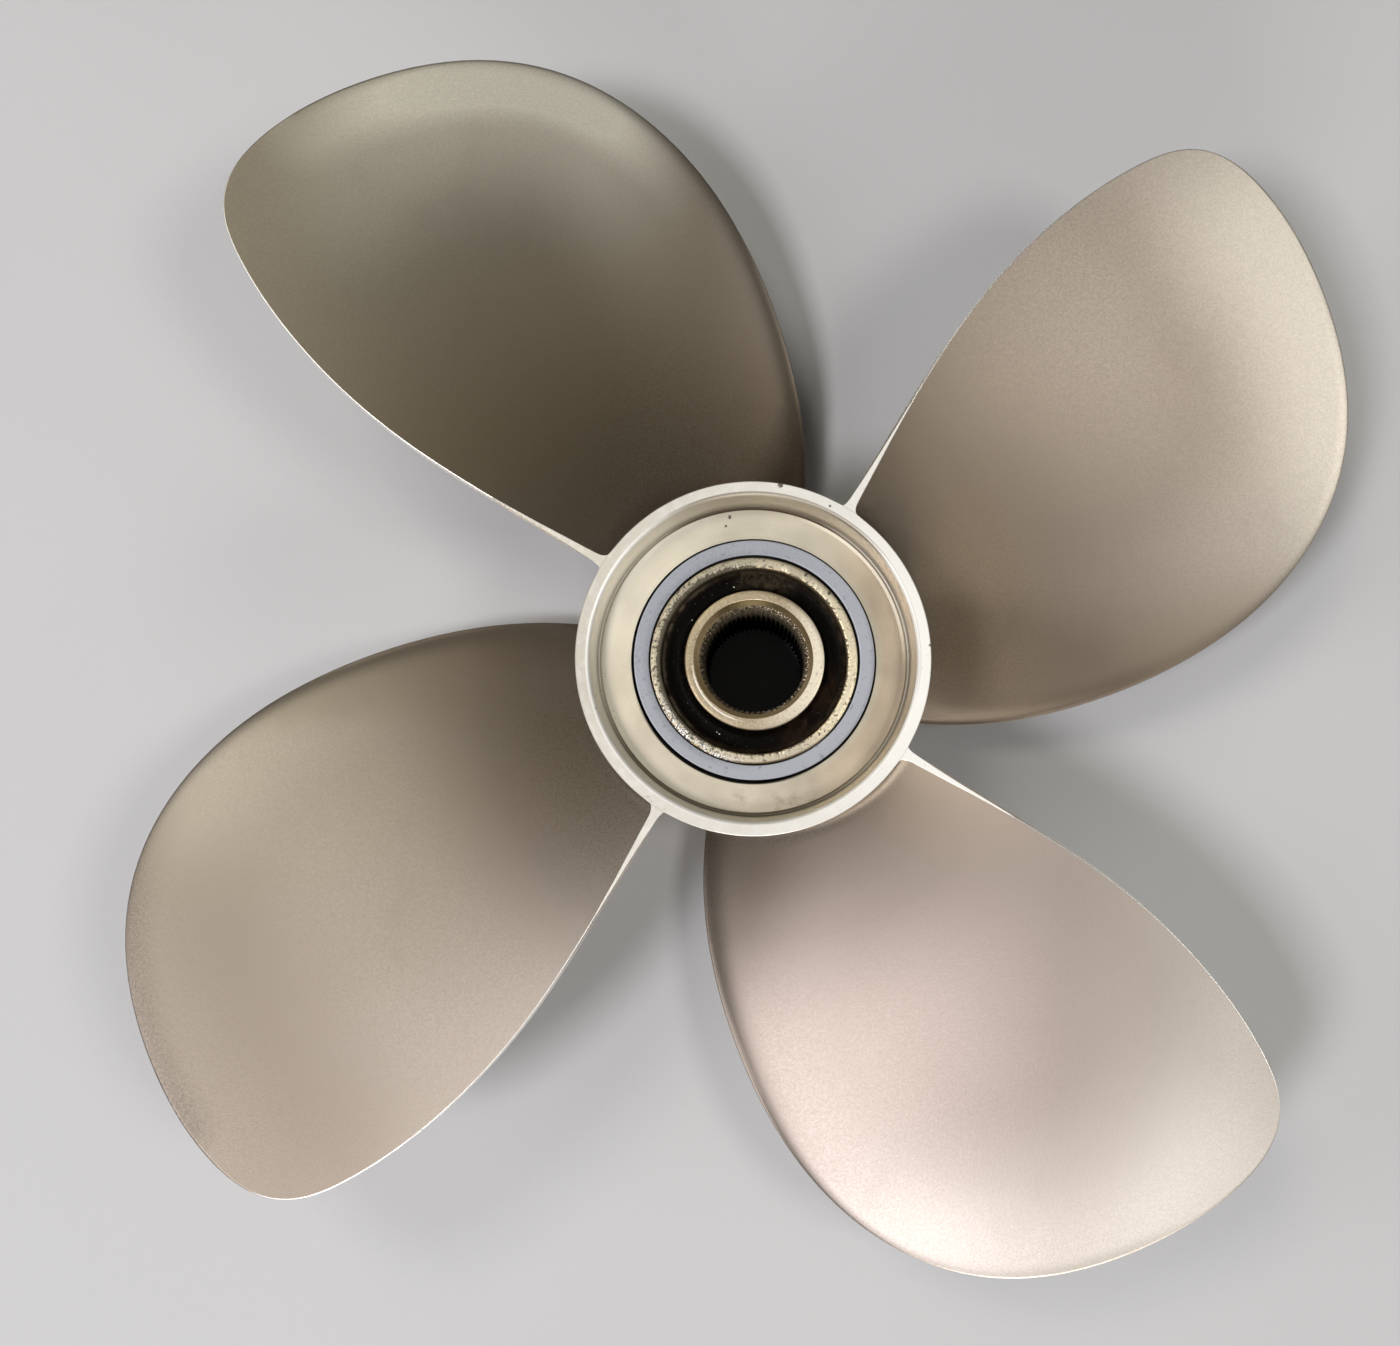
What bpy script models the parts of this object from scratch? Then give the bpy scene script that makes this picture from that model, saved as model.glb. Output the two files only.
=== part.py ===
"""Four-bladed ship propeller with a rubber-bushed splined hub, lying on its forward end.

Frame: metres, +Z along the shaft with the aft end up, origin at the centre of the hub's
forward end, on the floor. Seen from aft the propeller turns clockwise, so it is right-handed.
"""
from math import atan2, cos, hypot, pi, radians, sin, sqrt

import bmesh
import bpy
import numpy as np

# Driving dimensions of the casting
TIP_RADIUS = 0.290
HUB_RADIUS = 0.071
HUB_LENGTH = 0.096
BLADE_COUNT = 4
PITCH_AT_HUB = 0.381
PITCH_AT_TIP = 0.333
AFT_RAKE_AT_TIP = 0.014

# The face of the first blade lies this far below the hub's aft end at this angle, and
# swings up a little towards its root
GENERATOR_ANGLE = 110.0
GENERATOR_DROP = 0.041
ROOT_LIFT = 0.0027
ROOT_LIFT_FADE = 5

# Angle of the blade's edge in degrees, at even steps from the trailing edge's root, round the
# tip, to the leading edge's root
EDGE_ANGLES = (148.0, 148.5, 146.0, 142.5, 138.5, 130.0, 115.5, 104.0, 94.5, 84.5, 71.5)

# Blade thickness, square to its face
ROOT_THICKNESS = 0.015
TIP_THICKNESS = 0.003
EDGE_THICKNESS = 0.0022
THICKNESS_TAPER = 1.3
SECTION_FULLNESS = 0.8

# The aft face rolls down to the leading edge
ROLL_WIDTH_AT_ROOT = 0.012
ROLL_WIDTH_AT_TIP = 0.005
ROLL_DROP_SHARE = 0.3

# Fillet where the blades grow out of the hub, and the depth of the root in the hub's wall
FILLET_RADIUS = 0.0045
ROOT_DEPTH = 0.0025
FILLET_STANDOFF = 0.00005

# The aft end is cast this much too long and then faced flat, hub and blade roots together
FACING_ALLOWANCE = 0.004
FACING_CUT_WIDTH = 0.6

# Hollow inside of the casting, from the aft end down
RIM_RADIUS = 0.066
RECESS_RADIUS = 0.0626
RECESS_DEPTH = 0.012
RELIEF_INNER_RADIUS = 0.0612
RELIEF_DEPTH = 0.0008
RING_SEAT_RADIUS = 0.0497
RING_SEAT_DEPTH = 0.022
BORE_RADIUS = 0.0422
FORWARD_RECESS_RADIUS = 0.0605
FORWARD_RECESS_DEPTH = 0.010
FORWARD_CHAMFER = 0.001

# Pieces inside the hub, as inner radius, outer radius, lower end and upper end
RING_SIZE = (0.0434, 0.0494, 0.0743, 0.0846)
SHELL_SIZE = (0.0383, 0.0419, 0.0120, 0.0845)
RUBBER_SIZE = (0.0288, 0.0380, 0.0160, 0.0790)

# Splined sleeve
SLEEVE_RADIUS = 0.0285
SLEEVE_BOTTOM = 0.0060
SLEEVE_TOP = 0.0854
TOOTH_COUNT = 60
FIRST_VALLEY_ANGLE = 1.2
TOOTH_ROOT_RADIUS = 0.0223
TOOTH_TIP_RADIUS = 0.0206
MOUTH_RADIUS = 0.0244
MOUTH_DEPTH = 0.0020
TOOTH_RUN_IN = 0.0017
SLEEVE_EDGE_BREAK = 0.0006

# Mesh fineness
TURNING_STEPS = 72
BLADE_STEPS_ACROSS = 14
BLADE_STATIONS = (0.94, 0.87, 0.79, 0.71, 0.63, 0.54, 0.45, 0.36, 0.27, 0.18, 0.10, 0.04)
FILLET_SHARES = (0.15, 0.4, 1.0)
SHARP_ANGLE = radians(35)


def clear_scene():
    for old in list(bpy.data.objects):
        bpy.data.objects.remove(old, do_unlink=True)


def material(name, colour, roughness, metallic):
    """A plain shader with one colour, roughness and metallic value."""
    made = bpy.data.materials.new(name)
    made.use_nodes = True
    shader = made.node_tree.nodes["Principled BSDF"]
    shader.inputs["Base Color"].default_value = (*colour, 1.0)
    shader.inputs["Roughness"].default_value = roughness
    shader.inputs["Metallic"].default_value = metallic
    made.diffuse_color = (*colour, 1.0)
    return made


def add_object(name, points, faces, look):
    """An object from points and faces, shaded smooth between its sharp edges."""
    mesh = bpy.data.meshes.new(name)
    mesh.from_pydata([tuple(point) for point in points], [], faces)
    build = bmesh.new()
    build.from_mesh(mesh)
    bmesh.ops.recalc_face_normals(build, faces=build.faces)
    build.to_mesh(mesh)
    build.free()
    mesh.shade_smooth()
    mesh.set_sharp_from_angle(angle=SHARP_ANGLE)
    mesh.materials.append(look)
    made = bpy.data.objects.new(name, mesh)
    bpy.context.scene.collection.objects.link(made)
    return made


def closed_ring_faces(rows, steps):
    """Faces between rows of a loop turned right round the shaft's axis."""
    faces = []
    for row in range(rows):
        below = (row + 1) % rows
        for step in range(steps):
            after = (step + 1) % steps
            faces.append((row * steps + step, row * steps + after,
                          below * steps + after, below * steps + step))
    return faces


def turned(name, profile, look, steps=TURNING_STEPS):
    """A ring turned from a closed outline of radius and height."""
    angles = [2 * pi * step / steps for step in range(steps)]
    points = [(radius * cos(a), radius * sin(a), height)
              for radius, height in profile for a in angles]
    return add_object(name, points, closed_ring_faces(len(profile), steps), look)


def plain_ring(name, size, look):
    """A ring with a square section."""
    inner, outer, low, high = size
    return turned(name, [(outer, high), (outer, low), (inner, low), (inner, high)], look)


def smooth_curve(values):
    """A cubic spline with free ends through values at even steps, as a function of step."""
    count = len(values)
    matrix = np.eye(count)
    right = np.zeros(count)
    for i in range(1, count - 1):
        matrix[i, i - 1:i + 2] = (1, 4, 1)
        right[i] = 6 * (values[i - 1] - 2 * values[i] + values[i + 1])
    bends = np.linalg.solve(matrix, right)

    def curve(place):
        i = min(int(place), count - 2)
        after = place - i
        before = 1 - after
        return (before * values[i] + after * values[i + 1]
                + (before ** 3 - before) * bends[i] / 6 + (after ** 3 - after) * bends[i + 1] / 6)

    return curve


edge_curve = smooth_curve(EDGE_ANGLES)


def edge_angle(way):
    """Angle of the blade's edge, with way from -1 at the trailing root to 1 at the leading one."""
    return edge_curve((way + 1) / 2 * (len(EDGE_ANGLES) - 1))


def share_at(radius):
    return (radius - HUB_RADIUS) / (TIP_RADIUS - HUB_RADIUS)


def face_point(share, radius, angle):
    """Height of the blade's aft face, and the slope of its pitch there."""
    pitch = PITCH_AT_HUB + (PITCH_AT_TIP - PITCH_AT_HUB) * share
    height = (HUB_LENGTH - GENERATOR_DROP + AFT_RAKE_AT_TIP * share ** 2
              + ROOT_LIFT * (1 - share) ** ROOT_LIFT_FADE
              + pitch * (angle - GENERATOR_ANGLE) / 360)
    return height, atan2(pitch, 2 * pi * radius)


def middle_thickness(share):
    return TIP_THICKNESS + (ROOT_THICKNESS - TIP_THICKNESS) * (1 - share) ** THICKNESS_TAPER


def thickness(share, across):
    """Blade thickness, thickest halfway between its edges."""
    swell = (4 * across * (1 - across)) ** SECTION_FULLNESS
    return EDGE_THICKNESS + (middle_thickness(share) - EDGE_THICKNESS) * swell


def leading_roll(share, distance):
    """How far the aft face has rolled down at this distance from the leading edge."""
    width = ROLL_WIDTH_AT_ROOT + (ROLL_WIDTH_AT_TIP - ROLL_WIDTH_AT_ROOT) * share
    reach = max(0, 1 - distance / width)
    return ROLL_DROP_SHARE * middle_thickness(share) * (1 - sqrt(1 - reach ** 2))


def grown(loop, margin):
    """A closed loop of flat points moved outwards by a margin."""
    moved = []
    for i, (x, y) in enumerate(loop):
        (x0, y0), (x1, y1) = loop[i - 1], loop[(i + 1) % len(loop)]
        length = hypot(x1 - x0, y1 - y0)
        moved.append((x + margin * (y1 - y0) / length, y - margin * (x1 - x0) / length))
    return moved


def blade_section(way, radius, margin=0):
    """One closed section: along the aft face to the leading edge and back on the forward face."""
    share = max(0, share_at(radius))
    trailing, leading = edge_angle(-way), edge_angle(way)
    aft_side, forward_side = [], []
    for step in range(BLADE_STEPS_ACROSS + 1):
        across = (1 - cos(pi * step / BLADE_STEPS_ACROSS)) / 2
        angle = trailing + (leading - trailing) * across
        height, slope = face_point(share, radius, angle)
        arc = radians(angle) * radius
        depth = thickness(share, across)
        roll = min(leading_roll(share, arc - radians(leading) * radius), depth / 2)
        aft_side.append((arc + roll * sin(slope), height - roll * cos(slope)))
        forward_side.append((arc + depth * sin(slope), height - depth * cos(slope)))
    loop = grown(aft_side + forward_side[::-1], margin) if margin else aft_side + forward_side[::-1]
    return [(radius, arc / radius, height) for arc, height in loop]


def blade_sections():
    """Sections from inside the hub's wall, out through the fillet and on to the tip."""
    sections = [blade_section(1, HUB_RADIUS - ROOT_DEPTH, FILLET_RADIUS),
                blade_section(1, HUB_RADIUS + FILLET_STANDOFF, FILLET_RADIUS)]
    for rise in FILLET_SHARES:
        radius = HUB_RADIUS + FILLET_RADIUS * rise
        margin = FILLET_RADIUS * (1 - sqrt(1 - (1 - rise) ** 2))
        sections.append(blade_section(sqrt(1 - share_at(radius)), radius, margin))
    for way in BLADE_STATIONS:
        sections.append(blade_section(way, TIP_RADIUS - (TIP_RADIUS - HUB_RADIUS) * way ** 2))
    return sections


def blade_set(look):
    """All blades as closed bodies, spaced evenly round the shaft."""
    sections = blade_sections()
    loop = len(sections[0])
    points, faces = [], []
    for blade in range(BLADE_COUNT):
        first = len(points)
        turn = 360 / BLADE_COUNT * blade
        for section in sections:
            for radius, angle, height in section:
                around = angle - radians(turn)
                points.append((radius * cos(around), radius * sin(around), height))
        for station in range(len(sections) - 1):
            for i in range(loop):
                here = first + station * loop
                after = (i + 1) % loop
                faces.append((here + i, here + after, here + loop + after, here + loop + i))
        for end in (first, first + (len(sections) - 1) * loop):
            for i in range(loop // 2 - 1):
                faces.append((end + i, end + i + 1, end + loop - 2 - i, end + loop - 1 - i))
    return add_object("blade_set", points, faces, look)


def hidden_tool(tool):
    tool.hide_render = True
    tool.display_type = "WIRE"


def facing_cut(look):
    """Block that takes off everything above the hub's aft end."""
    half = FACING_CUT_WIDTH / 2
    low, high = HUB_LENGTH, HUB_LENGTH + FACING_CUT_WIDTH / 2
    points = [(x, y, z) for z in (low, high) for x, y in
              ((-half, -half), (half, -half), (half, half), (-half, half))]
    faces = [(0, 1, 2, 3), (4, 5, 6, 7), (0, 1, 5, 4), (1, 2, 6, 5), (2, 3, 7, 6), (3, 0, 4, 7)]
    return add_object("facing_cut", points, faces, look)


def propeller_casting(look):
    """Hub barrel and blades, cast as one piece and faced at the aft end."""
    top = HUB_LENGTH
    floor = top - RECESS_DEPTH
    wall_lean = (RIM_RADIUS - RECESS_RADIUS) / RECESS_DEPTH
    stock_radius = RIM_RADIUS + FACING_ALLOWANCE * wall_lean
    barrel = turned("propeller_casting", [
        (HUB_RADIUS, top + FACING_ALLOWANCE), (HUB_RADIUS, FORWARD_CHAMFER),
        (HUB_RADIUS - FORWARD_CHAMFER, 0), (FORWARD_RECESS_RADIUS, 0),
        (FORWARD_RECESS_RADIUS, FORWARD_RECESS_DEPTH), (BORE_RADIUS, FORWARD_RECESS_DEPTH),
        (BORE_RADIUS, top - RING_SEAT_DEPTH), (RING_SEAT_RADIUS, top - RING_SEAT_DEPTH),
        (RING_SEAT_RADIUS, floor), (RELIEF_INNER_RADIUS, floor),
        (RELIEF_INNER_RADIUS, floor - RELIEF_DEPTH), (RECESS_RADIUS, floor - RELIEF_DEPTH),
        (RECESS_RADIUS, floor), (stock_radius, top + FACING_ALLOWANCE)], look)
    for operation, tool in (("UNION", blade_set(look)), ("DIFFERENCE", facing_cut(look))):
        hidden_tool(tool)
        step = barrel.modifiers.new(tool.name, "BOOLEAN")
        step.operation = operation
        step.object = tool
    return barrel


def splined_sleeve(look):
    """Sleeve that slides on the shaft, with straight teeth between two plain mouths."""
    steps = 2 * TOOTH_COUNT
    outer_low, outer_high = SLEEVE_BOTTOM + SLEEVE_EDGE_BREAK, SLEEVE_TOP - SLEEVE_EDGE_BREAK
    rim = SLEEVE_RADIUS - SLEEVE_EDGE_BREAK
    low, high = SLEEVE_BOTTOM + MOUTH_DEPTH, SLEEVE_TOP - MOUTH_DEPTH
    rows = [(SLEEVE_RADIUS, outer_high, 0), (SLEEVE_RADIUS, outer_low, 0), (rim, SLEEVE_BOTTOM, 0),
            (MOUTH_RADIUS, SLEEVE_BOTTOM, 0), (TOOTH_ROOT_RADIUS, low, 0),
            (TOOTH_ROOT_RADIUS, low + TOOTH_RUN_IN, 1), (TOOTH_ROOT_RADIUS, high - TOOTH_RUN_IN, 1),
            (TOOTH_ROOT_RADIUS, high, 0), (MOUTH_RADIUS, SLEEVE_TOP, 0), (rim, SLEEVE_TOP, 0)]
    points = []
    for radius, height, toothed in rows:
        for step in range(steps):
            inner = TOOTH_TIP_RADIUS if toothed and step % 2 else radius
            around = radians(FIRST_VALLEY_ANGLE) + 2 * pi * step / steps
            points.append((inner * cos(around), inner * sin(around), height))
    return add_object("splined_sleeve", points, closed_ring_faces(len(rows), steps), look)


def main():
    clear_scene()
    bronze = material("cast_bronze", (0.45, 0.39, 0.31), 0.42, 1.0)
    burnished = material("burnished_bronze", (0.62, 0.52, 0.36), 0.32, 1.0)
    grey = material("grey_ring", (0.42, 0.44, 0.49), 0.5, 0.0)
    black = material("black_rubber", (0.012, 0.011, 0.010), 0.35, 0.0)
    propeller_casting(bronze)
    plain_ring("spacer_ring", RING_SIZE, grey)
    plain_ring("bush_shell", SHELL_SIZE, burnished)
    plain_ring("rubber_bush", RUBBER_SIZE, black)
    splined_sleeve(burnished)


main()
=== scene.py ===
"""Looks of the ship propeller: bead-blasted bronze blades, machined hub, bushed splined sleeve.

Metres, +Z along the shaft with the aft end up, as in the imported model.
"""
from math import atan2, ceil, cos, hypot, pi, radians, sin, sqrt

import bmesh
import bpy
import numpy as np
from mathutils import Matrix, Vector, noise
from mathutils.geometry import delaunay_2d_cdt


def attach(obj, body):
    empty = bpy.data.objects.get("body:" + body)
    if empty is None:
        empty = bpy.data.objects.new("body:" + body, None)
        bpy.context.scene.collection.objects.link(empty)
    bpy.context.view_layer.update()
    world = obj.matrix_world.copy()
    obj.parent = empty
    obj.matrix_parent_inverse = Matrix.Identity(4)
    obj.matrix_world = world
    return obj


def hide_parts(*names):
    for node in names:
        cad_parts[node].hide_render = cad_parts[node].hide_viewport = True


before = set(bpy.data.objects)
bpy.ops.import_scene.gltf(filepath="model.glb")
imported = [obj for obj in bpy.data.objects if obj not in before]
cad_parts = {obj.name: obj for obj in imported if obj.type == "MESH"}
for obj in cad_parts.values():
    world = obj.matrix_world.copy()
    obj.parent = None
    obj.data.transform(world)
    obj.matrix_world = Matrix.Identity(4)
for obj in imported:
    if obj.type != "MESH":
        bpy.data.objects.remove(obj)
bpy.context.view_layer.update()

# Casting, the same numbers as the solids
TIP_RADIUS = 0.29
HUB_RADIUS = 0.071
HUB_LENGTH = 0.096
BLADE_COUNT = 4
PITCH_AT_HUB = 0.381
PITCH_AT_TIP = 0.333
AFT_RAKE_AT_TIP = 0.014
GENERATOR_ANGLE = 110.0
GENERATOR_DROP = 0.041
ROOT_LIFT = 0.0027
ROOT_LIFT_FADE = 5
EDGE_ANGLES = (148.0, 148.5, 146.0, 142.5, 138.5, 130.0, 115.5, 104.0, 94.5, 84.5, 71.5)
ROOT_THICKNESS = 0.015
TIP_THICKNESS = 0.003
EDGE_THICKNESS = 0.0022
THICKNESS_TAPER = 1.3
SECTION_FULLNESS = 0.8
ROLL_WIDTH_AT_ROOT = 0.012
ROLL_WIDTH_AT_TIP = 0.005
ROLL_DROP_SHARE = 0.3
FILLET_RADIUS = 0.0045
RIM_RADIUS = 0.066
RECESS_RADIUS = 0.0626
RECESS_DEPTH = 0.012
RELIEF_INNER_RADIUS = 0.0612
RELIEF_DEPTH = 0.0008
RING_SEAT_RADIUS = 0.0497
RING_SEAT_DEPTH = 0.022
BORE_RADIUS = 0.0422
FORWARD_RECESS_RADIUS = 0.0605
FORWARD_RECESS_DEPTH = 0.01
FORWARD_CHAMFER = 0.001

# Pieces inside the hub, as inner radius, outer radius, lower end and upper end
RING_SIZE = (0.0434, 0.0494, 0.0743, 0.0846)
SHELL_SIZE = (0.0383, 0.0419, 0.012, 0.0845)
RUBBER_SIZE = (0.0288, 0.038, 0.016, 0.079)

# Splined sleeve
SLEEVE_RADIUS = 0.0285
SLEEVE_BOTTOM = 0.006
SLEEVE_TOP = 0.0854
TOOTH_COUNT = 60
FIRST_VALLEY_ANGLE = 1.2
TOOTH_ROOT_RADIUS = 0.0223
TOOTH_TIP_RADIUS = 0.0206
MOUTH_RADIUS = 0.0244
SLEEVE_EDGE_BREAK = 0.0006

# Grit and old grease fill the valleys near the mouth: depth, valley radius, tip radius, unevenness
CLOGGED_TEETH = ((0.0023, 0.0223, 0.0223, 0.0), (0.0028, 0.022, 0.0217, 0.0004),
                 (0.0035, 0.0215, 0.0211, 0.0006), (0.005, 0.0212, 0.0207, 0.0004),
                 (0.01, 0.0209, 0.0206, 0.0), (0.02, 0.0209, 0.0206, 0.0),
                 (0.03, 0.0216, 0.0206, 0.0))
CLEAN_TOOTH_DROPS = (0.04, 0.05, 0.062)

# The forward mouth has the first of these rows, and its valleys are clean from this height up
FORWARD_TOOTH_ROWS = 4
FORWARD_CLEAN_RISE = 0.0045

# Steps round one tooth: in all, on half its tip and on one flank
TOOTH_STEPS = 12
TOOTH_TIP_STEPS = 1.6
TOOTH_FLANK_STEPS = 2.8

# Edges of the sleeve's ends, as steps inwards and along from the outer and the mouth's radius
SLEEVE_OUTER_EDGE = ((0.0, SLEEVE_EDGE_BREAK), (0.3 * SLEEVE_EDGE_BREAK, 0.3 * SLEEVE_EDGE_BREAK),
                     (SLEEVE_EDGE_BREAK, 0.0), (0.0016, 0.0))
MOUTH_EDGE = ((-0.0004, 0.0), (0.0, 0.0), (0.0003, 0.0003), (0.0009, 0.001), (0.0016, 0.0018))

# The aft mouth is worn off centre by this much, down to this depth and out to this far round it
MOUTH_SHIFT = (-0.00045, 0.0004)
MOUTH_SHIFT_DEPTH = 0.0045
MOUTH_SHIFT_REACH = 0.0008
SLEEVE_SHIFT = (0.00014, 0.00018, 0.0)

# Ring, shell and rubber as they look in place
RING_STEPS, SHELL_STEPS, RUBBER_STEPS = 240, 720, 360
PIECE_EDGE_BREAK = 0.0004
RING_INSET = 0.0004
RING_SHIFT = (0.00018, 0.0003, 0.0)
SHELL_SWELL = 0.0003
SHELL_INNER_EDGE = ((0.0, 0.001), (0.0, 0.0006), (0.0002, 0.0002), (0.0006, 0.0),
                    (0.0011, 0.0), (0.002, 0.0))
FLAKED_REACH = 0.0012
RUBBER_GAP = 0.0003
RUBBER_ROWS = 14
RUBBER_SAG = 0.0021
RUBBER_TOP_DROP = 0.0002
RUBBER_LUMPS = 0.00016
RUBBER_LUMPY_DEPTH = 0.004

# Turned edges of the hub's aft end, as steps outwards and upwards from the corner of each
RIM_FLAT_WIDTH = 0.0012
RIM_EDGE = ((0.0009, 0.0), (0.0006, 0.0), (0.0001, -0.0002), (-0.0006, -0.0009),
            (-0.0007, -0.0014), (-0.0018, -0.006))
GROOVE_OUTER_EDGE = ((0.0012, 0.0008), (0.001, 0.0), (0.0006, -0.8 * RELIEF_DEPTH),
                     (0.0002, -RELIEF_DEPTH))
GROOVE_INNER_EDGE = ((0.0011, -0.8 * RELIEF_DEPTH), (0.0006, 0.0), (0.0003, 0.0))
FLOOR_ROW_RADIUS = 0.0555
RING_SEAT_EDGE = ((0.0006, 0.0), (0.0003, 0.0), (0.0, -0.0003))

# Edges of the hub's forward recess
FORWARD_EDGE_BREAK = 0.0005
FORWARD_RECESS_CORNER = 0.001

# Trailing edges are cut square, up to this share of their length, with a small round corner
SQUARE_EDGE_END = 0.82
SQUARE_EDGE_CORNER = 0.0003

# Where the square cut ends, the trailing edge counts as this much further off, so it isn't bright
CUT_FADE = 0.0012

# The leading edge's roll grows from nothing at the tip, over this share of the edge
ROLL_START = 0.12

# Nose of a blade section: its share of half the thickness, and how its width is found
NOSE_SHARE = 0.94
NOSE_PROBE = 0.002
LEAST_STEEPNESS = 0.02
WIDEST_NOSE = 0.22

# Rows are closer together where the facing cut runs out along the trailing edge
FACING_END_STEP = 0.0001
FACING_END_ROWS = (-30, -12, -1, 1, 12, 30)

# A point this high is in the faced end
FACED_HEIGHT = HUB_LENGTH - 1e-9

# The root's fillet is small at the trailing edge and swells to its full size inwards
TRAILING_FILLET_SHARE = 0.28
FILLET_SWELL_WIDTH = 0.022

# Mesh fineness of the casting
EDGE_STEPS = 5
FACE_STEPS = 40
FILLET_STEPS = 6
ROOT_ROWS = 16
ROOT_ROWS_REACH = 0.03
OUTER_ROWS = 46
PANEL_START = radians(65.0)
PANEL_STEP = radians(1.5)
PANEL_ROW = 0.0025
SHARP_ANGLE = radians(38)

# Least distances in millimetres of a point inside a panel of the hub to its sides and the root
SEAM_CLEARANCE = 0.6
ROOT_CLEARANCE = 0.9

# The rim's outer edge break is smaller close to a blade's facing cut
RIM_EDGE_BREAK = 0.0003
RIM_BREAK_AT_CUT = 0.25
RIM_BREAK_RUN = 0.004


def smooth_curve(values):
    """A cubic spline with free ends through values at even steps, as a function of step."""
    count = len(values)
    matrix = np.eye(count)
    right = np.zeros(count)
    for i in range(1, count - 1):
        matrix[i, i - 1:i + 2] = (1, 4, 1)
        right[i] = 6 * (values[i - 1] - 2 * values[i] + values[i + 1])
    bends = np.linalg.solve(matrix, right)

    def curve(place):
        i = min(int(place), count - 2)
        after = place - i
        before = 1 - after
        return (before * values[i] + after * values[i + 1]
                + (before ** 3 - before) * bends[i] / 6 + (after ** 3 - after) * bends[i + 1] / 6)

    return curve


edge_curve = smooth_curve(EDGE_ANGLES)


def edge_angle(way):
    """Angle of the blade's edge, with way from -1 at the trailing root to 1 at the leading one."""
    return radians(edge_curve((way + 1) / 2 * (len(EDGE_ANGLES) - 1)))


def edge_radius(way):
    return TIP_RADIUS - (TIP_RADIUS - HUB_RADIUS) * way ** 2


def edge_line(start, end, steps):
    """Points of the blade's edge in plan."""
    ways = np.linspace(start, end, steps)
    return np.array([(edge_radius(w) * cos(edge_angle(w)), edge_radius(w) * sin(edge_angle(w)))
                     for w in ways])


TRAILING_EDGE = edge_line(-1, 0, 200)
LEADING_EDGE = edge_line(0, 1, 200)


def distance_to(points, line):
    """Shortest distance in plan from each point to a line of points, and where on the line."""
    start, step = line[:-1], np.diff(line, axis=0)
    away = points[:, None, :] - start
    along = np.clip((away * step).sum(2) / (step ** 2).sum(1), 0, 1)
    gaps = np.sqrt(((away - along[:, :, None] * step) ** 2).sum(2))
    nearest = gaps.argmin(1)
    return gaps.min(1), (nearest + along[np.arange(len(points)), nearest]) / len(step)


def smooth_step(value):
    value = np.clip(value, 0, 1)
    return value * value * (3 - 2 * value)


def rounding(distance, radius):
    """How far a rounded edge falls away at each distance inside it."""
    reach = np.clip(1 - distance / radius, 0, 1)
    return radius * (1 - np.sqrt(1 - reach ** 2))


def places_across(width, way):
    """Shares of a section's width, close together where its two edges are rounded."""
    zones = []
    for side in (-way, way):
        inner, outer = max(-1, side - NOSE_PROBE), min(1, side + NOSE_PROBE)
        run = edge_radius(outer) - edge_radius(inner)
        along = edge_radius(side) * (edge_angle(outer) - edge_angle(inner))
        steepness = abs(run) / hypot(run, along)
        zones.append(min(EDGE_THICKNESS / 2 / max(steepness, LEAST_STEEPNESS) / width, WIDEST_NOSE))
    turn = [1 - cos(pi / 2 * k / EDGE_STEPS) for k in range(EDGE_STEPS)]
    middle = [0.5 * k / FACE_STEPS + 0.25 * (1 - cos(pi * k / FACE_STEPS))
              for k in range(FACE_STEPS + 1)]
    return np.array([zones[0] * t for t in turn]
                    + [zones[0] + (1 - zones[0] - zones[1]) * m for m in middle]
                    + [1 - zones[1] * t for t in reversed(turn)])


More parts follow.
